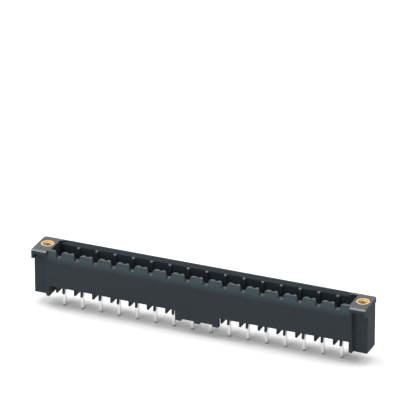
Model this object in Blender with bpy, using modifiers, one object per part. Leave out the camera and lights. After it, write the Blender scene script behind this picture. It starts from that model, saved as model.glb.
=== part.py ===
"""Straight sixteen-way pin header for a printed circuit board, with a threaded flange at each end.

The row of contacts runs along X with its middle at the origin. The board's top face is z = 0, the notched
front wall faces -Y, and the mating plug goes in from above.
"""

import math

import bmesh
import bpy
from mathutils import Matrix

MM = 0.001

# Row of contacts
POSITIONS = 16
PITCH = 5.08 * MM
PIN_SIDE = 0.8 * MM
PIN_TAIL = 3.38 * MM
PIN_TOP = 8.4 * MM
PIN_POINT_LENGTH = 0.45 * MM
PIN_POINT_SIDE = 0.4 * MM
PRESS_CLEARANCE = 0.05 * MM

# Overall form of the moulding
HEIGHT = 12.9 * MM
BODY_DEPTH = 7.75 * MM
ROW_FROM_FRONT = 3.07 * MM
WALL_BEYOND_ROW = 3.85 * MM
CAVITY_BEYOND_ROW = 2.75 * MM
UNDERSIDE_HEIGHT = 2.92 * MM
FLOOR_THICKNESS = 2.1 * MM

# Front wall: notches over the contacts that widen inwards, and a grooved tongue between each two
FRONT_WALL = 1.6 * MM
TONGUE_THICKNESS = 1.1 * MM
GROOVE_WEB = 0.65 * MM
GROOVE_WIDTH = 0.95 * MM
NOTCH_WIDTH = 1.65 * MM
NOTCH_DEPTH = 1.65 * MM
NOTCH_FLARE = 0.45 * MM
FRONT_DRAFT = 0.12 * MM

# Back wall: a lead-in along its top and a rib between each two contacts
BACK_WALL = 1.05 * MM
RIDGE = 0.25 * MM
LEAD_IN_HEIGHT = 0.9 * MM
LEAD_IN_RUN_OUT = 3.2 * MM
RIB_WIDTH = 0.75 * MM
RIB_DEPTH = 0.5 * MM
RIB_TOP_DROP = 1.2 * MM

# Flanges
FLANGE_BEYOND_ROW = 7.53 * MM
FLANGE_WIDTH = 4.2 * MM
FLANGE_FRONT_OVERHANG = 0.8 * MM
FLANGE_THICKNESS = 1.2 * MM
FLANGE_FRONT_EDGE = 0.3 * MM
HOOK_WIDTH = 0.75 * MM
HOOK_HEIGHT = 2.5 * MM
FLANGE_CORNER = 0.8 * MM
BLOCK_WIDTH = 4.6 * MM
BLOCK_FRONT_SETBACK = 1.13 * MM
BLOCK_BACK_SETBACK = 1.2 * MM

# Stand-offs under the floor
FIN_WIDTH = 0.6 * MM
FIN_THICKNESS = 0.25 * MM
SPUR_WIDTH = 0.55 * MM
SPUR_FROM_PIN = 1.88 * MM
SPUR_FRONT = 2.5 * MM
SPUR_LENGTH = 3.0 * MM
SKIRT_BEYOND_FOOT = 0.07 * MM
SKIRT_THICKNESS = 1.2 * MM
SKIRT_FOOT = 1.6 * MM
SKIRT_ARCH = 0.55 * MM
CENTRE_RIB = 1.6 * MM

# Threaded inserts
INSERT_BEYOND_ROW = 5.09 * MM
INSERT_FROM_FRONT = 4.15 * MM
INSERT_BORE = 2.05 * MM
INSERT_HEAD = 3.65 * MM
INSERT_HEAD_THICKNESS = 0.6 * MM
INSERT_BARREL = 3.2 * MM
INSERT_LENGTH = 6.0 * MM
INSERT_CHAMFER = 0.2 * MM
INSERT_RECESS = 0.02 * MM
POCKET_BELOW_INSERT = 1.5 * MM
SEAT_CLEARANCE = 0.05 * MM
ROUND_STEPS = 32
CORNER_SEGMENTS = 6

# How far a joined piece runs into its neighbour, and a cutter past the face it leaves by
OVERLAP = 0.5 * MM

# Places worked out from the sizes above
ROW_END = PITCH * (POSITIONS - 1) / 2
FRONT = -ROW_FROM_FRONT
BACK = FRONT + BODY_DEPTH
WALL_END = ROW_END + WALL_BEYOND_ROW
CAVITY_END = ROW_END + CAVITY_BEYOND_ROW
FLANGE_END = ROW_END + FLANGE_BEYOND_ROW
FLOOR_TOP = UNDERSIDE_HEIGHT + FLOOR_THICKNESS
CAVITY_FRONT = FRONT + FRONT_WALL
CAVITY_BACK = BACK - BACK_WALL
CAVITY_MIDDLE = (CAVITY_FRONT + CAVITY_BACK) / 2
ABOVE = HEIGHT + OVERLAP


def clear_scene():
    for old in list(bpy.data.objects):
        bpy.data.objects.remove(old)


def new_collection(name, helpers=False):
    collection = bpy.data.collections.new(name)
    collection.hide_render = helpers
    bpy.context.scene.collection.children.link(collection)
    return collection


def new_material(name, colour, roughness, metallic=0.0):
    material = bpy.data.materials.new(name)
    material.use_nodes = True
    shader = material.node_tree.nodes["Principled BSDF"]
    shader.inputs["Base Color"].default_value = (*colour, 1.0)
    shader.inputs["Roughness"].default_value = roughness
    shader.inputs["Metallic"].default_value = metallic
    return material


def new_object(name, mesh, collection):
    piece = bpy.data.objects.new(name, mesh)
    collection.objects.link(piece)
    if collection.hide_render:
        piece.hide_render = True
        piece.display_type = "WIRE"
    return piece


def object_from(bm, name, collection):
    bmesh.ops.recalc_face_normals(bm, faces=bm.faces)
    mesh = bpy.data.meshes.new(name)
    bm.to_mesh(mesh)
    bm.free()
    return new_object(name, mesh, collection)


def box(name, x, y, z, collection):
    """A block between two values along each axis."""
    size = [high - low for low, high in (x, y, z)]
    middle = [(high + low) / 2 for low, high in (x, y, z)]
    bm = bmesh.new()
    place = Matrix.Translation(middle) @ Matrix.Diagonal((*size, 1.0))
    bmesh.ops.create_cube(bm, size=1.0, matrix=place)
    return object_from(bm, name, collection)


def extruded(name, outline, offset, collection):
    """A flat outline of 3-D points pushed along an offset into a solid."""
    bm = bmesh.new()
    face = bm.faces.new([bm.verts.new(point) for point in outline])
    pushed = bmesh.ops.extrude_face_region(bm, geom=[face])["geom"]
    moved = [item for item in pushed if isinstance(item, bmesh.types.BMVert)]
    bmesh.ops.translate(bm, vec=offset, verts=moved)
    return object_from(bm, name, collection)


def plan_prism(name, outline, bottom, top, collection):
    points = [(x, y, bottom) for x, y in outline]
    return extruded(name, points, (0.0, 0.0, top - bottom), collection)


def section_bar(name, outline, start, end, collection):
    points = [(start, y, z) for y, z in outline]
    return extruded(name, points, (end - start, 0.0, 0.0), collection)


def lofted_bar(name, sections, collection):
    """A closed bar through unlike sections, each a place along X and an outline of the same count in YZ."""
    bm = bmesh.new()
    rings = []
    for x, outline in sections:
        ring = [bm.verts.new((x, y, z)) for y, z in outline]
        rings.append(ring)
    for first, second in zip(rings, rings[1:]):
        for i in range(len(first)):
            j = (i + 1) % len(first)
            bm.faces.new((first[i], first[j], second[j], second[i]))
    bm.faces.new(rings[0])
    bm.faces.new(rings[-1])
    return object_from(bm, name, collection)


def pin_places():
    return [i * PITCH - ROW_END for i in range(POSITIONS)]


def tongue_places():
    return [x + PITCH / 2 for x in pin_places()[:-1]]


def flange_sides():
    return ("left", -1), ("right", 1)


def side_span(side, near, far):
    """A span along X at one end of the row, in rising order."""
    return tuple(sorted((side * near, side * far)))


def round_upright_edges(piece, x, y, radius):
    """Rounds the upright edges of a piece that stand at one place seen from above."""
    bm = bmesh.new()
    bm.from_mesh(piece.data)
    near = [edge for edge in bm.edges if all(math.hypot(v.co.x - x, v.co.y - y) < 0.01 * MM for v in edge.verts)]
    bmesh.ops.bevel(
        bm, geom=near, offset=radius, offset_type="OFFSET", segments=CORNER_SEGMENTS, profile=0.5, affect="EDGES"
    )
    bm.to_mesh(piece.data)
    bm.free()


def flange_plates(collection):
    """The plate at each end, thin over the block, with a deeper hook at the outer end of its front lip."""
    front = FRONT - FLANGE_FRONT_OVERHANG
    outline = [
        (front, HEIGHT - FLANGE_THICKNESS),
        (BACK, HEIGHT - FLANGE_THICKNESS),
        (BACK, HEIGHT),
        (front + FLANGE_FRONT_EDGE, HEIGHT),
        (front, HEIGHT - FLANGE_FRONT_EDGE),
    ]
    hook_y = (front, FRONT + BLOCK_FRONT_SETBACK + OVERLAP)
    hook_z = (HEIGHT - HOOK_HEIGHT, HEIGHT - FLANGE_THICKNESS / 2)
    for label, side in flange_sides():
        inner, outer = side_span(side, FLANGE_END - FLANGE_WIDTH, FLANGE_END)
        plate = section_bar("flange_plate_" + label, outline, inner, outer, collection)
        round_upright_edges(plate, side * FLANGE_END, BACK, FLANGE_CORNER)
        hook_x = side_span(side, FLANGE_END - HOOK_WIDTH, FLANGE_END)
        box("hook_" + label, hook_x, hook_y, hook_z, collection)


def end_blocks(collection):
    block_y = (FRONT + BLOCK_FRONT_SETBACK, BACK - BLOCK_BACK_SETBACK)
    block_top = HEIGHT - FLANGE_THICKNESS / 2
    for label, side in flange_sides():
        block_x = side_span(side, FLANGE_END - BLOCK_WIDTH, FLANGE_END)
        box("end_block_" + label, block_x, block_y, (0.0, block_top), collection)
        foot_x = side_span(side, FLANGE_END - BLOCK_WIDTH, WALL_END)
        foot_z = (0.0, UNDERSIDE_HEIGHT + OVERLAP)
        box("end_foot_" + label, foot_x, (FRONT, BACK), foot_z, collection)


def skirt_outline():
    """The front elevation of the short apron under the middle of the front wall, with its three feet."""
    half_foot = SKIRT_FOOT / 2
    reach = PITCH + half_foot + SKIRT_BEYOND_FOOT
    root = UNDERSIDE_HEIGHT + OVERLAP
    points = [(-reach, root), (-reach, 0.0)]
    for foot in (-PITCH, 0.0):
        points.append((foot + half_foot, 0.0))
        points.append((foot + half_foot, SKIRT_ARCH))
        points.append((foot + PITCH - half_foot, SKIRT_ARCH))
        points.append((foot + PITCH - half_foot, 0.0))
    return points + [(reach, 0.0), (reach, root)]


def stand_offs(collection):
    reach = (0.0, UNDERSIDE_HEIGHT + OVERLAP)
    fin_back = -PIN_SIDE / 2 - PRESS_CLEARANCE
    spur_front = FRONT + SPUR_FRONT
    for number, x in enumerate(pin_places(), start=1):
        fin_x = (x - FIN_WIDTH / 2, x + FIN_WIDTH / 2)
        fin_y = (fin_back - FIN_THICKNESS, fin_back)
        box(f"fin_{number:02d}", fin_x, fin_y, reach, collection)
        spur = x - SPUR_FROM_PIN
        if abs(spur) < PITCH / 2:
            continue
        spur_x = (spur - SPUR_WIDTH / 2, spur + SPUR_WIDTH / 2)
        spur_y = (spur_front, spur_front + SPUR_LENGTH)
        box(f"spur_{number:02d}", spur_x, spur_y, reach, collection)
    centre_x = (-CENTRE_RIB / 2, CENTRE_RIB / 2)
    centre_y = (FRONT + SKIRT_THICKNESS / 2, BACK - BACK_WALL)
    box("centre_rib", centre_x, centre_y, reach, collection)
    skirt = [(x, FRONT, z) for x, z in skirt_outline()]
    extruded("skirt", skirt, (0.0, SKIRT_THICKNESS, 0.0), collection)


def cavity_outline():
    """The trough seen from above: grooves in its front side, and the ribs of the back wall left standing."""
    groove_front = FRONT + GROOVE_WEB
    rib_front = CAVITY_BACK - RIB_DEPTH
    points = [(-CAVITY_END, CAVITY_FRONT)]
    for x in tongue_places():
        low, high = x - GROOVE_WIDTH / 2, x + GROOVE_WIDTH / 2
        points += [(low, CAVITY_FRONT), (low, groove_front), (high, groove_front), (high, CAVITY_FRONT)]
    points += [(CAVITY_END, CAVITY_FRONT), (CAVITY_END, CAVITY_BACK)]
    for x in reversed(tongue_places()):
        low, high = x - RIB_WIDTH / 2, x + RIB_WIDTH / 2
        points += [(high, CAVITY_BACK), (high, rib_front), (low, rib_front), (low, CAVITY_BACK)]
    return points + [(-CAVITY_END, CAVITY_BACK)]


def comb_outline():
    """What is cleared above the notch floors: notches that run out at the front, and the grooves of the tongues."""
    tongue_back = FRONT + TONGUE_THICKNESS
    notch, groove = NOTCH_WIDTH / 2, GROOVE_WIDTH / 2
    notch_side = [(notch + NOTCH_FLARE, tongue_back), (notch, FRONT + FRONT_DRAFT), (notch, FRONT - OVERLAP)]
    groove_side = [(groove, tongue_back), (groove, FRONT + GROOVE_WEB)]
    cuts = [(x, notch_side) for x in pin_places()] + [(x, groove_side) for x in tongue_places()]
    points = [(-CAVITY_END, tongue_back)]
    for x, side in sorted(cuts):
        points += [(x - half, y) for half, y in side]
        points += [(x + half, y) for half, y in reversed(side)]
    return points + [(CAVITY_END, tongue_back), (CAVITY_END, CAVITY_MIDDLE), (-CAVITY_END, CAVITY_MIDDLE)]


def lead_in_section(slope):
    """The space over the ribs' slanted tops and over the back wall's slope, which fades out towards the flanges."""
    bottom = HEIGHT - LEAD_IN_HEIGHT
    rib_front = (CAVITY_BACK - RIB_DEPTH, HEIGHT - RIB_TOP_DROP)
    run = (BACK_WALL - RIDGE) * slope
    top_back = CAVITY_BACK + run * (ABOVE - bottom) / LEAD_IN_HEIGHT
    middle = CAVITY_MIDDLE - OVERLAP
    return [(middle, rib_front[1]), rib_front, (CAVITY_BACK, bottom), (top_back, ABOVE), (middle, ABOVE)]


def cut_trough(collection):
    plan_prism("cut_cavity", cavity_outline(), FLOOR_TOP, ABOVE, collection)
    plan_prism("cut_comb", comb_outline(), HEIGHT - NOTCH_DEPTH, ABOVE, collection)
    full = CAVITY_END - LEAD_IN_RUN_OUT
    sections = [
        (-CAVITY_END, lead_in_section(0.0)),
        (-full, lead_in_section(1.0)),
        (full, lead_in_section(1.0)),
        (CAVITY_END, lead_in_section(0.0)),
    ]
    lofted_bar("cut_lead_in", sections, collection)


def cut_front_draft(collection):
    """A thin wedge off the front face, so that it leans back above the notch floors."""
    bottom = HEIGHT - NOTCH_DEPTH
    lean = FRONT_DRAFT * (ABOVE - bottom) / NOTCH_DEPTH
    outside = FRONT - FLANGE_FRONT_OVERHANG / 2
    wedge = [(FRONT, bottom), (FRONT + lean, ABOVE), (outside, ABOVE), (outside, bottom)]
    end = FLANGE_END - FLANGE_WIDTH
    section_bar("cut_front_draft", wedge, -end, end, collection)


def cut_pin_holes(collection):
    half = PIN_SIDE / 2 + PRESS_CLEARANCE
    through = (UNDERSIDE_HEIGHT - OVERLAP, FLOOR_TOP + OVERLAP)
    for number, x in enumerate(pin_places(), start=1):
        box(f"cut_pin_{number:02d}", (x - half, x + half), (-half, half), through, collection)


def turned(name, profile, place, collection):
    """A profile of (radius, height) points spun round a vertical axis."""
    bm = bmesh.new()
    verts = [bm.verts.new((radius, 0.0, height)) for radius, height in profile]
    for first, second in zip(verts, verts[1:]):
        bm.edges.new((first, second))
    if profile[0][0] > 0.0:
        bm.edges.new((verts[-1], verts[0]))
    mesh = bpy.data.meshes.new(name)
    bm.to_mesh(mesh)
    bm.free()
    piece = new_object(name, mesh, collection)
    piece.location = place
    spin = piece.modifiers.new("spin", "SCREW")
    spin.steps = ROUND_STEPS
    spin.render_steps = ROUND_STEPS
    spin.use_merge_vertices = True
    spin.merge_threshold = 0.01 * MM
    spin.use_smooth_shade = False
    return piece


def insert_place(side):
    return (side * (ROW_END + INSERT_BEYOND_ROW), FRONT + INSERT_FROM_FRONT, HEIGHT - INSERT_RECESS)


def cut_insert_pockets(collection):
    head = INSERT_HEAD / 2 + SEAT_CLEARANCE
    barrel = INSERT_BARREL / 2 + SEAT_CLEARANCE
    shoulder = -INSERT_HEAD_THICKNESS - SEAT_CLEARANCE
    bottom = -INSERT_LENGTH - POCKET_BELOW_INSERT
    profile = [(0.0, OVERLAP), (head, OVERLAP), (head, shoulder), (barrel, shoulder), (barrel, bottom), (0.0, bottom)]
    for label, side in flange_sides():
        turned("cut_insert_" + label, profile, insert_place(side), collection)


def build_inserts(collection, material):
    head, barrel, bore = INSERT_HEAD / 2, INSERT_BARREL / 2, INSERT_BORE / 2
    mouth = bore + INSERT_CHAMFER
    profile = [
        (head - INSERT_CHAMFER / 2, 0.0),
        (head, -INSERT_CHAMFER / 2),
        (head, -INSERT_HEAD_THICKNESS),
        (barrel, -INSERT_HEAD_THICKNESS),
        (barrel, INSERT_CHAMFER - INSERT_LENGTH),
        (barrel - INSERT_CHAMFER, -INSERT_LENGTH),
        (bore, -INSERT_LENGTH),
        (bore, -INSERT_CHAMFER),
        (mouth, 0.0),
    ]
    for label, side in flange_sides():
        insert = turned("threaded_insert_" + label, profile, insert_place(side), collection)
        insert.data.materials.append(material)


def pin_mesh():
    """A square pin drawn down to a smaller square at both ends."""
    bm = bmesh.new()
    length = PIN_TOP + PIN_TAIL - 2 * PIN_POINT_LENGTH
    middle = (PIN_TOP - PIN_TAIL) / 2
    place = Matrix.Translation((0.0, 0.0, middle)) @ Matrix.Diagonal((PIN_SIDE, PIN_SIDE, length, 1.0))
    bmesh.ops.create_cube(bm, size=1.0, matrix=place)
    ends = [face for face in bm.faces if abs(face.normal.z) > 0.5]
    share = PIN_POINT_SIDE / PIN_SIDE
    for face in ends:
        direction = 1.0 if face.normal.z > 0.0 else -1.0
        tip = bmesh.ops.extrude_discrete_faces(bm, faces=[face])["faces"][0]
        bmesh.ops.translate(bm, vec=(0.0, 0.0, direction * PIN_POINT_LENGTH), verts=tip.verts)
        bmesh.ops.scale(bm, vec=(share, share, 1.0), verts=tip.verts)
    bmesh.ops.recalc_face_normals(bm, faces=bm.faces)
    mesh = bpy.data.meshes.new("contact_pin")
    bm.to_mesh(mesh)
    bm.free()
    return mesh


def build_pins(collection, material):
    mesh = pin_mesh()
    mesh.materials.append(material)
    for number, x in enumerate(pin_places(), start=1):
        pin = new_object(f"contact_pin_{number:02d}", mesh, collection)
        pin.location = (x, 0.0, 0.0)


def add_boolean(piece, label, operation, collection):
    modifier = piece.modifiers.new(label, "BOOLEAN")
    modifier.operation = operation
    modifier.operand_type = "COLLECTION"
    modifier.collection = collection
    modifier.solver = "EXACT"


def build_housing(collection, material):
    joined = new_collection("housing_additions", helpers=True)
    cutters = new_collection("housing_cutters", helpers=True)
    body = (-WALL_END, WALL_END), (FRONT, BACK), (UNDERSIDE_HEIGHT, HEIGHT)
    housing = box("housing", *body, collection)
    housing.data.materials.append(material)
    flange_plates(joined)
    end_blocks(joined)
    stand_offs(joined)
    cut_trough(cutters)
    cut_front_draft(cutters)
    cut_pin_holes(cutters)
    cut_insert_pockets(cutters)
    add_boolean(housing, "join", "UNION", joined)
    add_boolean(housing, "cut", "DIFFERENCE", cutters)
    return housing


def build():
    clear_scene()
    parts = new_collection("pcb_connector")
    plastic = new_material("black_moulding", (0.035, 0.042, 0.05), 0.42)
    tin = new_material("tinned_contact", (0.78, 0.78, 0.76), 0.3, 1.0)
    brass = new_material("brass_insert", (0.78, 0.57, 0.26), 0.32, 1.0)
    build_housing(parts, plastic)
    build_pins(parts, tin)
    build_inserts(parts, brass)


build()
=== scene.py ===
"""Looks for the sixteen-way pin header: softened housing, tinned pins and threaded brass inserts.

Everything is in metres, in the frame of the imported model: the pins stand on X, the notched wall faces -Y, and
the board's top face is z = 0.
"""

import math

import bmesh
import bpy
from mathutils import Matrix, Vector


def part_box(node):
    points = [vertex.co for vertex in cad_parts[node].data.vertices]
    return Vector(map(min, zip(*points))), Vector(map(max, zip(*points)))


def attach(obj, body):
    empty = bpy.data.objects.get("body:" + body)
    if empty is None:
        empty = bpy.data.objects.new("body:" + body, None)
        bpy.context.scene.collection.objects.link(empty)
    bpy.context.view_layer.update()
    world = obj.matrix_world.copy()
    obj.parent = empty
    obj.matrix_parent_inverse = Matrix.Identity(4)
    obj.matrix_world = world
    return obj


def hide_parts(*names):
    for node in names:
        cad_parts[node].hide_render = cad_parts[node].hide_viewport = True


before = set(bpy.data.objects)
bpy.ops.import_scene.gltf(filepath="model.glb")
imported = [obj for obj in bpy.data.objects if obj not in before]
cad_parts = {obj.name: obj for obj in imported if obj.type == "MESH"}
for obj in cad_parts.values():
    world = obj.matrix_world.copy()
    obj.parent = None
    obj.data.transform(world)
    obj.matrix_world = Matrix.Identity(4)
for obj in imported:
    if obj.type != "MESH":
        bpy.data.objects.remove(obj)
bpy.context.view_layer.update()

MM = 0.001
WHITE = (1.0, 1.0, 1.0, 1.0)

# Sizes that the moulding and the camera share
WALL_FRONT = -3.07 * MM
PIN_FOOT = -3.38 * MM

# Notches: how far their sides move along X at the floor and at the top, first in front, then behind
PITCH = 5.08 * MM
NOTCH_FLOOR = 11.25 * MM
HOUSING_TOP = 12.9 * MM
TONGUE_BACK = -1.97 * MM
NOTCH_MARGIN = 0.1 * MM
NOTCH_BACK = TONGUE_BACK + NOTCH_MARGIN
NOTCH_NEAR = 0.7 * MM
NOTCH_FAR = 1.4 * MM
LEFT_SIDE_SHIFTS = ((-0.27 * MM, -0.01 * MM), (0.54 * MM, -0.22 * MM))
RIGHT_SIDE_SHIFTS = ((-0.57 * MM, -0.17 * MM), (-0.4 * MM, -0.17 * MM))

# Stand-offs and the front wall's lower edge
STANDOFFS_END = 40.5 * MM
STANDOFF_SHIFT = -0.13 * MM
UNDERSIDE_TOP = 3.05 * MM
UNDERSIDE_BOTTOM = 2.8 * MM
EDGE_BACK = -2.85 * MM
EDGE_DROP = 0.25 * MM

# Softened edges
WELD_DISTANCE = 0.002 * MM
FLAT_ANGLE = math.radians(0.5)
CORNER_ANGLE = math.radians(20.0)
HOUSING_EDGE = 0.07 * MM
PIN_EDGE = 0.07 * MM
EDGE_SEGMENTS = 2

# The smooth front edge of the flanges
LIP_BACK = -3.4 * MM
LIP_BOTTOM = 12.55 * MM

# Painted light: the top of the front wall gets a paler colour that stands in for the light falling on it
PALE_FRONT = -3.2 * MM
PALE_BACK = -2.3 * MM
PALE_SIDE = 41.3 * MM
PALE_START = 9.6 * MM
PALE_END = 11.6 * MM
PAINTED_LIGHT_SHARE = 0.34

# Faces that look up, and the attribute that marks them
SMOOTH_FACES = "smooth_faces"
SMOOTH_RISE = 0.69
NOTCH_LEVEL = 11.5 * MM
NOTCH_SMOOTHNESS = 0.75

# Solder pins: the blunt cut end, its darker foot of bare cut metal and painted shade, and the root under the
# moulding, darkened with painted shade
POINT_TOP = -2.93 * MM
POINT_SIDE = 0.2 * MM
CUT_SIDE = 0.34 * MM
PIN_SIDE = 0.4 * MM
CUT_END = -3.2 * MM
CUT_START = -2.9 * MM
ROOT_START = 0.0 * MM
ROOT_END = 1.6 * MM
PIN_COUNT = 16

# Threaded inserts, whose places come from their nodes
INSERT_HEAD = 3.65 * MM
INSERT_RIM = 0.12 * MM
INSERT_RIM_ROUND = 0.3 * INSERT_RIM
INSERT_HEAD_THICKNESS = 0.6 * MM
INSERT_BARREL = 3.2 * MM
INSERT_LENGTH = 6.0 * MM
THREAD_MAJOR = 2.5 * MM
THREAD_MINOR = 2.05 * MM
THREAD_PITCH = 0.45 * MM
THREAD_CREST = 0.06 * MM
THREAD_TURNS = 12
TOOTH_SINK = 0.03 * MM
TOOTH_HALF_HEIGHT = THREAD_PITCH * 0.46
MOUTH = 2.75 * MM
MOUTH_DEPTH = 0.22 * MM
MOUTH_STEP = 0.05 * MM
MOUTH_STEP_IN = 0.02 * MM
MOUTH_FLARE = 0.04 * MM
BORE_TINT_RADIUS = 1.36 * MM
TURNED_STEPS = 72
THREAD_STEPS = 28
SHARP_ANGLE = math.radians(35.0)

# Moulded black: colours, gloss and relief
DEEP_BLACK = (0.0245, 0.031, 0.0365, 1.0)
LIGHT_BLACK = (0.030, 0.0375, 0.044, 1.0)
# The colour of the painted light on the front wall's top
PAINTED_LIGHT_BLACK = (0.085, 0.13, 0.145, 1.0)
MOULD_GLOSS = 0.57
FLOW_GLOSS = 0.1
GRAIN_GLOSS = 0.06
UPWARD_GLOSS = 0.15
UPWARD_COAT = 0.19
LIP_COAT = 0.83
GRAIN_SIZE = 0.09 * MM
GRAIN_DEPTH = 0.006 * MM
RIPPLE_SIZE = 1.6 * MM
RIPPLE_DEPTH = 0.012 * MM
FLOW_SIZE = 7.0 * MM

# Tin: colours of the wire, of the painted shade on its root, of its cut end (bare metal and painted shade), and
# its lines
DULL_TIN = (0.7, 0.69, 0.67, 1.0)
BRIGHT_TIN = (0.84, 0.84, 0.82, 1.0)
# Painted shade on the pin's root, where the moulding shades it
ROOT_SHADE_TIN = (0.36, 0.37, 0.38, 1.0)
# Bare cut metal at the pin's foot, darkened further as painted shade where the pin meets the table
CUT_AND_SHADE_TIN = (0.22, 0.22, 0.23, 1.0)
LINE_SIZE = 0.05 * MM
LINE_DEPTH = 0.003 * MM
CLOUD_SIZE = 0.7 * MM
CLOUD_DEPTH = 0.01 * MM

# Brass: colours of the turned face and of the bore, and the lathe's rings
DULL_BRASS = (0.38, 0.31, 0.21, 1.0)
BRIGHT_BRASS = (0.5, 0.41, 0.28, 1.0)
BORE_BRASS = (0.44, 0.29, 0.11, 1.0)
TARNISH_SIZE = 0.9 * MM
RING_SPACING = 0.07 * MM
RING_DEPTH = 0.0012 * MM

# Table and surroundings
TABLE_HALF = 3.0
TABLE_COLOUR = (0.9, 0.9, 0.9, 1.0)
TABLE_GLOW = 0.06
SURROUNDINGS = 0.12

# Lamps, which all face the origin: name, place, size and power
LAMPS = (
    ("overhead_softbox", (-0.03, 0.04, 0.8), (0.66, 0.4), 4.1),
    ("left_softbox", (-0.75, 0.0, 0.6), (0.7, 0.5), 5.4),
    ("right_softbox", (0.64, 0.1, 0.7), (0.8, 0.4), 3.9),
    ("rear_softbox", (-0.32, 0.75, 0.36), (0.8, 0.5), 1.5),
    ("edge_lamp", (-0.33, -0.345, 0.665), (0.24, 0.24), 0.24),
    ("front_softbox", (-0.3, -0.8, 0.38), (0.6, 0.36), 3.2),
)

# Camera, fitted to the photograph's frame of 408 x 408
FRAME_PIXELS = 408
CAMERA_AZIMUTH = math.radians(22.82)
CAMERA_ELEVATION = math.radians(25.358)
CAMERA_ROLL = math.radians(-0.094)
CAMERA_DISTANCE = 1144.0 * MM
FOCAL_PIXELS = 4522.0
FOOT_PIXEL = (197.01, 324.08)
SENSOR_WIDTH = 36.0
NEAREST = 0.01
FARTHEST = 50.0


class Value:
    """A shader socket that takes part in Python arithmetic: each operator adds its Math node."""

    def __init__(self, finish, socket):
        self.finish = finish
        self.socket = socket

    def maths(self, operation, first, second):
        return self.finish.add("ShaderNodeMath", {"operation": operation}, {0: first, 1: second})

    def __add__(self, other):
        return self.maths("ADD", self, other)

    def __radd__(self, other):
        return self.maths("ADD", other, self)

    def __sub__(self, other):
        return self.maths("SUBTRACT", self, other)

    def __rsub__(self, other):
        return self.maths("SUBTRACT", other, self)

    def __mul__(self, other):
        return self.maths("MULTIPLY", self, other)

    def __rmul__(self, other):
        return self.maths("MULTIPLY", other, self)


class Finish:
    """A material and its nodes."""

    def __init__(self, name):
        self.material = bpy.data.materials.new(name)
        self.material.use_nodes = True
        self.tree = self.material.node_tree
        self.shader = self.tree.nodes["Principled BSDF"]

    def add(self, kind, settings=None, sockets=None, output=0):
        """Any node: its settings first, then the values or links of its sockets."""
        node = self.tree.nodes.new(kind)
        for key, value in (settings or {}).items():
            setattr(node, key, value)
        for key, value in (sockets or {}).items():
            self.feed(node.inputs[key], value)
        return Value(self, node.outputs[output])

    def feed(self, socket, value):
        if isinstance(value, Value):
            self.tree.links.new(value.socket, socket)
        else:
            socket.default_value = value

    def place(self, scale):
        """Object coordinates in metres, stretched where a pattern runs along the piece."""
        objects = self.add("ShaderNodeTexCoord", output="Object")
        return self.add("ShaderNodeMapping", None, {"Vector": objects, "Scale": scale})

    def noise(self, size, detail=2.0, roughness=0.5, stretch=(1.0, 1.0, 1.0)):
        """Noise from 0 to 1 whose spots are about one size, in metres."""
        sockets = {"Vector": self.place(stretch), "Scale": 1.0 / size, "Detail": detail, "Roughness": roughness}
        return self.add("ShaderNodeTexNoise", None, sockets)

    def between(self, value, low, high):
        """A value of 0 to 1 spread from one number to another."""
        sockets = {"Value": value, "To Min": low, "To Max": high}
        return self.add("ShaderNodeMapRange", None, sockets)

    def blend(self, factor, first, second):
        """Two colours mixed by a value."""
        sockets = {0: factor, 6: first, 7: second}
        return self.add("ShaderNodeMix", {"data_type": "RGBA"}, sockets, output=2)

    def along(self, axis):
        """One of the Object coordinates, X, Y or Z."""
        objects = self.add("ShaderNodeTexCoord", output="Object")
        return self.add("ShaderNodeSeparateXYZ", None, {0: objects}, output=axis)

    def apply(self, operation, value):
        """A function of one value, such as its root."""
        return self.add("ShaderNodeMath", {"operation": operation}, {0: value})

    def below(self, value, limit):
        """1 where a value is under a limit and 0 elsewhere."""
        return self.add("ShaderNodeMath", {"operation": "LESS_THAN"}, {0: value, 1: limit})

    def rise(self, value, start, end):
        """0 up to a first value and 1 from a second, with a straight change between them."""
        return self.add("ShaderNodeMapRange", None, {"Value": value, "From Min": start, "From Max": end})

    def relief(self, height, depth, below=None):
        """A bump whose full height is a depth in metres."""
        sockets = {"Height": height, "Distance": depth, "Strength": 1.0}
        if below is not None:
            sockets["Normal"] = below
        return self.add("ShaderNodeBump", None, sockets)

    def set(self, **sockets):
        for key, value in sockets.items():
            self.feed(self.shader.inputs[key.replace("_", " ")], value)
        return self.material


def moulded_black():
    """Moulded polyamide: nearly black with a cool cast, a spark-eroded grain and a slowly changing gloss."""
    finish = Finish("moulded_polyamide")
    grain = finish.noise(GRAIN_SIZE, detail=3.0, roughness=0.6)
    ripple = finish.noise(RIPPLE_SIZE)
    flow = finish.noise(FLOW_SIZE, detail=3.0, stretch=(0.35, 1.0, 1.0))
    across, forward, height = (finish.along(axis) for axis in "XYZ")
    upward = finish.add("ShaderNodeAttribute", {"attribute_name": SMOOTH_FACES}, output="Fac")
    lip = finish.below(forward, LIP_BACK) * finish.below(LIP_BOTTOM, height)
    on_wall = finish.below(forward, PALE_BACK) * finish.below(PALE_FRONT, forward)
    on_wall = on_wall * finish.below(across * across, PALE_SIDE * PALE_SIDE)
    # Painted light: the front wall's upper band, apart from faces that look up, turns paler with height
    pale = on_wall * (1.0 - upward) * finish.rise(height, PALE_START, PALE_END)
    colour = finish.blend(finish.between(flow, -0.2, 1.2), DEEP_BLACK, LIGHT_BLACK)
    bumps = finish.relief(grain * (1.0 - lip), GRAIN_DEPTH)
    return finish.set(
        Base_Color=finish.blend(PAINTED_LIGHT_SHARE * pale, colour, PAINTED_LIGHT_BLACK),
        Roughness=MOULD_GLOSS + FLOW_GLOSS * flow + GRAIN_GLOSS * grain - UPWARD_GLOSS * upward,
        Normal=finish.relief(ripple * (1.0 - lip), RIPPLE_DEPTH, bumps),
        Specular_IOR_Level=0.08,
        Coat_Weight=UPWARD_COAT * upward + LIP_COAT * lip,
        Coat_Roughness=0.12,
        Coat_IOR=2.0,
    )


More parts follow.
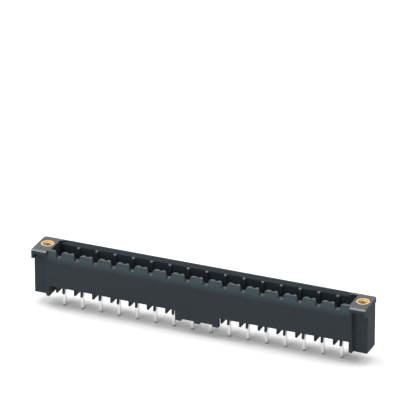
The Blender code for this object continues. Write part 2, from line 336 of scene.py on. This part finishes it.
def drawn_tin():
    """Tin over drawn wire: pale and soft, with fine lines along the pin, painted shade on the root under the
    moulding, and a darker foot that is partly bare cut metal and partly painted shade.
    """
    finish = Finish("drawn_tin")
    lines = finish.noise(LINE_SIZE, stretch=(1.0, 1.0, 0.03))
    cloud = finish.noise(CLOUD_SIZE, detail=3.0)
    height = finish.along("Z")
    colour = finish.blend(cloud, DULL_TIN, BRIGHT_TIN)
    # Painted shade: the pin turns darker towards the moulding
    colour = finish.blend(finish.rise(height, ROOT_START, ROOT_END), colour, ROOT_SHADE_TIN)
    # The foot darkens: the bare cut end, and painted shade where the pin meets the table
    colour = finish.blend(1.0 - finish.rise(height, CUT_END, CUT_START), colour, CUT_AND_SHADE_TIN)
    gloss = 0.22 + 0.16 * cloud + 0.08 * lines
    bumps = finish.relief(cloud, CLOUD_DEPTH, finish.relief(lines, LINE_DEPTH))
    return finish.set(Base_Color=colour, Metallic=1.0, Roughness=gloss, Normal=bumps)


def turned_brass(middle):
    """Pale turned brass with the lathe's rings round the insert's axis."""
    finish = Finish("turned_brass")
    x, y = middle
    from_axis = finish.apply("ABSOLUTE", finish.along("X")) - abs(x)
    from_middle = finish.along("Y") - y
    radius = finish.apply("SQRT", from_axis * from_axis + from_middle * from_middle)
    rings = finish.apply("SINE", radius * (2.0 * math.pi / RING_SPACING))
    tarnish = finish.noise(TARNISH_SIZE, detail=4.0)
    turned = finish.blend(tarnish, DULL_BRASS, BRIGHT_BRASS)
    colour = finish.blend(finish.below(radius, BORE_TINT_RADIUS), turned, BORE_BRASS)
    gloss = 0.42 + 0.18 * tarnish
    return finish.set(Base_Color=colour, Metallic=1.0, Roughness=gloss, Normal=finish.relief(rings, RING_DEPTH))


def piece_from(bm, name, material):
    mesh = bpy.data.meshes.new(name)
    bm.to_mesh(mesh)
    bm.free()
    mesh.materials.append(material)
    piece = bpy.data.objects.new(name, mesh)
    bpy.context.scene.collection.objects.link(piece)
    return piece


def share_of(value, start, end):
    """How far a value has come from a start to an end, kept between 0 and 1."""
    return min(max((value - start) / (end - start), 0.0), 1.0)


def lean_notch_sides(bm):
    """Leans the sides of the notches, which are narrower at their floors and twisted towards the trough."""
    for vert in bm.verts:
        x, y, z = vert.co
        offset = ((x / PITCH) % 1.0 - 0.5) * PITCH
        beside_notch = NOTCH_NEAR < abs(offset) < NOTCH_FAR
        if beside_notch and y < NOTCH_BACK and z > NOTCH_FLOOR - NOTCH_MARGIN:
            front, back = LEFT_SIDE_SHIFTS if offset < 0.0 else RIGHT_SIDE_SHIFTS
            up = share_of(z, NOTCH_FLOOR, HOUSING_TOP)
            inward = share_of(y, WALL_FRONT, TONGUE_BACK)
            at_front = front[0] + up * (front[1] - front[0])
            at_back = back[0] + up * (back[1] - back[0])
            vert.co.x = x + at_front + inward * (at_back - at_front)


def settle_underside(bm):
    """Moves the stand-offs a little to the left and the front wall's lower edge down."""
    for vert in bm.verts:
        x, y, z = vert.co
        if abs(x) < STANDOFFS_END and z < UNDERSIDE_TOP:
            vert.co.x = x + STANDOFF_SHIFT
            if z > UNDERSIDE_BOTTOM and y < EDGE_BACK:
                vert.co.z = z - EDGE_DROP


def shaped_housing(bm):
    """The housing's changes of shape, none of which rises over its top."""
    lean_notch_sides(bm)
    settle_underside(bm)
    for vert in bm.verts:
        vert.co.z = min(vert.co.z, HOUSING_TOP)


def blunt_point(bm):
    """Widens the pointed end of a pin to that of cut wire."""
    middle = sum(vert.co.x for vert in bm.verts) / len(bm.verts)
    for vert in bm.verts:
        share = share_of(vert.co.z, PIN_FOOT, POINT_TOP)
        wider = (CUT_SIDE + share * (PIN_SIDE - CUT_SIDE)) / (POINT_SIDE + share * (PIN_SIDE - POINT_SIDE))
        vert.co.x = middle + (vert.co.x - middle) * wider
        vert.co.y = vert.co.y * wider


def mark_smooth_faces(bm):
    """Marks the faces that look up, which are smoother than the walls: fully, and less at the notch floors."""
    bm.normal_update()
    mark = bm.faces.layers.float.new(SMOOTH_FACES)
    for face in bm.faces:
        if face.normal.z > SMOOTH_RISE:
            high = face.calc_center_median().z > NOTCH_LEVEL
            face[mark] = 1.0 if high else NOTCH_SMOOTHNESS


def softened(node, name, width, material, shape=None):
    """A copy of a node that stands for it, with slightly rounded corners, and reshaped if asked."""
    bm = bmesh.new()
    bm.from_mesh(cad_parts[node].data)
    bmesh.ops.remove_doubles(bm, verts=bm.verts, dist=WELD_DISTANCE)
    bmesh.ops.dissolve_limit(bm, angle_limit=FLAT_ANGLE, verts=bm.verts, edges=bm.edges)
    corners = [edge for edge in bm.edges if edge.is_manifold and edge.calc_face_angle() > CORNER_ANGLE]
    bmesh.ops.bevel(
        bm,
        geom=corners,
        offset=width,
        offset_type="OFFSET",
        segments=EDGE_SEGMENTS,
        profile=0.5,
        affect="EDGES",
        material=-1,
    )
    if shape is not None:
        shape(bm)
    for face in bm.faces:
        face.smooth = False
    mark_smooth_faces(bm)
    piece = piece_from(bm, name, material)
    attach(piece, "root")
    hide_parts(node)


def spun_profile(bm, profile, middle, steps):
    """Spins a closed profile of (radius, height) points all the way round an upright axis."""
    x, y, z = middle
    verts = [bm.verts.new((x + radius, y, z + height)) for radius, height in profile]
    edges = [bm.edges.new((first, second)) for first, second in zip(verts, verts[1:] + verts[:1])]
    bmesh.ops.spin(
        bm,
        geom=verts + edges,
        cent=middle,
        axis=(0.0, 0.0, 1.0),
        angle=2.0 * math.pi,
        steps=steps,
        use_merge=True,
    )


def thread_ridge(bm, middle, top):
    """A right-hand thread: one tooth, spun down the bore with its lead."""
    x, y, z = middle
    root = THREAD_MAJOR / 2 + TOOTH_SINK
    crest = THREAD_MINOR / 2
    half = TOOTH_HALF_HEIGHT
    flat = THREAD_CREST / 2
    tooth = [(root, -half), (crest, -flat), (crest, flat), (root, half)]
    bottom = z + top - THREAD_TURNS * THREAD_PITCH
    verts = [bm.verts.new((x + radius, y, bottom + height)) for radius, height in tooth]
    face = bm.faces.new(verts)
    bmesh.ops.spin(
        bm,
        geom=[face],
        cent=middle,
        axis=(0.0, 0.0, 1.0),
        dvec=(0.0, 0.0, THREAD_PITCH / THREAD_STEPS),
        angle=2.0 * math.pi * THREAD_TURNS,
        steps=THREAD_STEPS * THREAD_TURNS,
    )


def threaded_insert(node, material):
    """A turned insert with a thread in its bore, in the place of its plain node."""
    low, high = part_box(node)
    middle = ((low[0] + high[0]) / 2, (low[1] + high[1]) / 2, high[2])
    head, barrel = INSERT_HEAD / 2, INSERT_BARREL / 2
    bore, mouth = THREAD_MAJOR / 2, MOUTH / 2
    profile = [
        (head - INSERT_RIM, 0.0),
        (head - INSERT_RIM_ROUND, -INSERT_RIM_ROUND),
        (head, -INSERT_RIM),
        (head, -INSERT_HEAD_THICKNESS),
        (barrel, -INSERT_HEAD_THICKNESS),
        (barrel, -INSERT_LENGTH),
        (bore, -INSERT_LENGTH),
        (bore, -MOUTH_DEPTH),
        (mouth - MOUTH_STEP_IN, -MOUTH_STEP),
        (mouth + MOUTH_FLARE, 0.0),
    ]
    bm = bmesh.new()
    spun_profile(bm, profile, middle, TURNED_STEPS)
    thread_ridge(bm, middle, -MOUTH_DEPTH)
    bmesh.ops.recalc_face_normals(bm, faces=bm.faces)
    piece = piece_from(bm, node + "_turned", material)
    for polygon in piece.data.polygons:
        polygon.use_smooth = True
    piece.data.set_sharp_from_angle(angle=SHARP_ANGLE)
    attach(piece, "root")
    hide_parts(node)


def white_floor():
    """A pale table that keeps the shadow and runs out to white."""
    finish = Finish("white_table")
    rays = finish.tree.nodes.new("ShaderNodeLightPath")
    seen = Value(finish, rays.outputs["Is Camera Ray"]) + Value(finish, rays.outputs["Is Glossy Ray"])
    finish.feed(finish.shader.inputs["Emission Strength"], TABLE_GLOW * seen)
    material = finish.set(
        Base_Color=TABLE_COLOUR,
        Roughness=0.9,
        Emission_Color=WHITE,
        Specular_IOR_Level=0.0,
    )
    bm = bmesh.new()
    level = Matrix.Translation((0.0, 0.0, PIN_FOOT))
    bmesh.ops.create_grid(bm, x_segments=2, y_segments=2, size=TABLE_HALF, matrix=level)
    floor = piece_from(bm, "table", material)


def softbox(name, place, size, power):
    """A rectangular lamp that faces the origin."""
    light = bpy.data.lights.new(name, "AREA")
    light.shape = "RECTANGLE"
    light.size, light.size_y = size
    light.energy = power
    lamp = bpy.data.objects.new(name, light)
    lamp.location = place
    lamp.rotation_euler = (-Vector(place)).to_track_quat("-Z", "Y").to_euler()
    bpy.context.scene.collection.objects.link(lamp)


def studio():
    """Weak white surroundings, which the camera and glossy rays see as full white, and the lamps."""
    scene = bpy.context.scene
    scene.view_settings.view_transform = "Standard"
    world = bpy.data.worlds.new("studio")
    world.use_nodes = True
    scene.world = world
    nodes, links = world.node_tree.nodes, world.node_tree.links
    surroundings = nodes["Background"]
    surroundings.inputs["Color"].default_value = WHITE
    surroundings.inputs["Strength"].default_value = SURROUNDINGS
    backdrop = nodes.new("ShaderNodeBackground")
    backdrop.inputs["Color"].default_value = WHITE
    rays = nodes.new("ShaderNodeLightPath")
    either = nodes.new("ShaderNodeMath")
    either.operation = "MAXIMUM"
    links.new(rays.outputs["Is Camera Ray"], either.inputs[0])
    links.new(rays.outputs["Is Glossy Ray"], either.inputs[1])
    mix = nodes.new("ShaderNodeMixShader")
    links.new(either.outputs[0], mix.inputs[0])
    links.new(surroundings.outputs[0], mix.inputs[1])
    links.new(backdrop.outputs[0], mix.inputs[2])
    links.new(mix.outputs[0], nodes["World Output"].inputs["Surface"])
    for name, place, size, power in LAMPS:
        softbox(name, place, size, power)


def camera():
    """The photograph's view: the foot of the front wall's middle falls on its pixel."""
    a, e, r = CAMERA_AZIMUTH, CAMERA_ELEVATION, CAMERA_ROLL
    back = Vector((math.sin(a) * math.cos(e), -math.cos(a) * math.cos(e), math.sin(e)))
    right = Vector((math.cos(a), math.sin(a), 0.0))
    up = back.cross(right)
    side = right * math.cos(r) + up * math.sin(r)
    above = up * math.cos(r) - right * math.sin(r)
    middle = FRAME_PIXELS / 2
    offset_right = (FOOT_PIXEL[0] - middle) * CAMERA_DISTANCE / FOCAL_PIXELS
    offset_up = (middle - FOOT_PIXEL[1]) * CAMERA_DISTANCE / FOCAL_PIXELS
    foot = Vector((0.0, WALL_FRONT, 0.0))
    place = foot - offset_right * side - offset_up * above + CAMERA_DISTANCE * back
    lens = bpy.data.cameras.new("camera")
    lens.sensor_width = SENSOR_WIDTH
    lens.lens = FOCAL_PIXELS / FRAME_PIXELS * SENSOR_WIDTH
    lens.clip_start = NEAREST
    lens.clip_end = FARTHEST
    view = bpy.data.objects.new("camera", lens)
    turn = Matrix((side, above, back)).transposed().to_4x4()
    view.matrix_world = Matrix.Translation(place) @ turn
    bpy.context.scene.collection.objects.link(view)
    bpy.context.scene.camera = view


def dress():
    """Every piece of the header, each with its finish."""
    plastic = moulded_black()
    tin = drawn_tin()
    low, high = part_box("threaded_insert_right")
    brass = turned_brass(((low[0] + high[0]) / 2, (low[1] + high[1]) / 2))
    softened("housing", "moulded_housing", HOUSING_EDGE, plastic, shaped_housing)
    for number in range(1, PIN_COUNT + 1):
        node = f"contact_pin_{number:02d}"
        softened(node, f"tinned_pin_{number:02d}", PIN_EDGE, tin, blunt_point)
    for side in ("left", "right"):
        threaded_insert("threaded_insert_" + side, brass)


dress()
white_floor()
studio()
camera()
